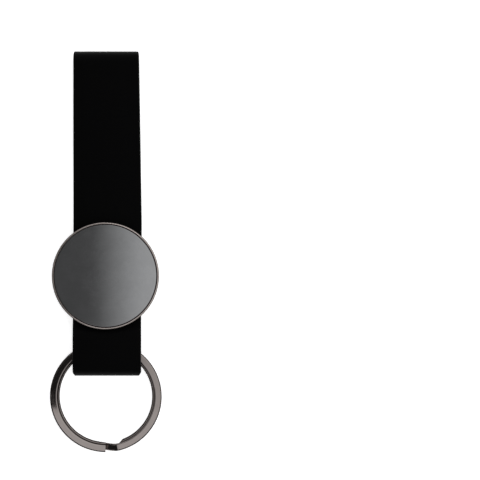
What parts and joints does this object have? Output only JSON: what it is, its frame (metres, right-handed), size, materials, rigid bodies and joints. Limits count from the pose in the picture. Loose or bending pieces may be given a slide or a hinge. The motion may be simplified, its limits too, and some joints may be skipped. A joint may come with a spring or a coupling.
{
  "type": "strap key ring",
  "caption": "Flat folded strap clamped by a round medallion, with a split ring for keys held in its lower fold.",
  "frame": {"origin": "middle of the rear plate's outer face, which the fob lies on", "axes": "+X across the strap, +Y along it towards the closed upper loop, +Z out of the medallion's face"},
  "size_m": [0.032, 0.1147, 0.0074],
  "materials": {
    "silicone": "matte black silicone",
    "plated_casting": "gunmetal plated zinc casting, polished",
    "polished_face": "polished gunmetal",
    "adhesive": "thin double-sided pad",
    "rear_plate_metal": "gunmetal plated, satin",
    "screw_steel": "black plated",
    "plated_wire": "gunmetal plated spring wire, polished"
  },
  "bodies": {
    "medallion": {"medallion_housing": "plated_casting", "face_plate": "polished_face", "adhesive_disc": "adhesive", "rear_plate": "rear_plate_metal", "rear_screw_upper": "screw_steel", "rear_screw_lower": "screw_steel", "strap_middle": "silicone"},
    "upper_loop": {"strap_upper_loop": "silicone"},
    "ring_fold": {"strap_ring_fold": "silicone"},
    "ring": {"split_ring": "plated_wire"}
  },
  "joints": [
    {"name": "strap_bend", "type": "hinge", "parent": "medallion", "child": "upper_loop", "pos_m": [0, 0.018, 0.0031], "axis": [1, 0, 0], "range_deg": [-75, 75], "stiffness_Nm_per_rad": 0.006},
    {"name": "fold_bend", "type": "hinge", "parent": "medallion", "child": "ring_fold", "pos_m": [0, -0.018, 0.0031], "axis": [-1, 0, 0], "range_deg": [-60, 60], "stiffness_Nm_per_rad": 0.006},
    {"name": "ring_spin", "type": "hinge", "parent": "ring_fold", "child": "ring", "pos_m": [0, -0.03452, 0.00224], "axis": [0, -0.0688, 0.9976], "continuous": true}
  ]
}
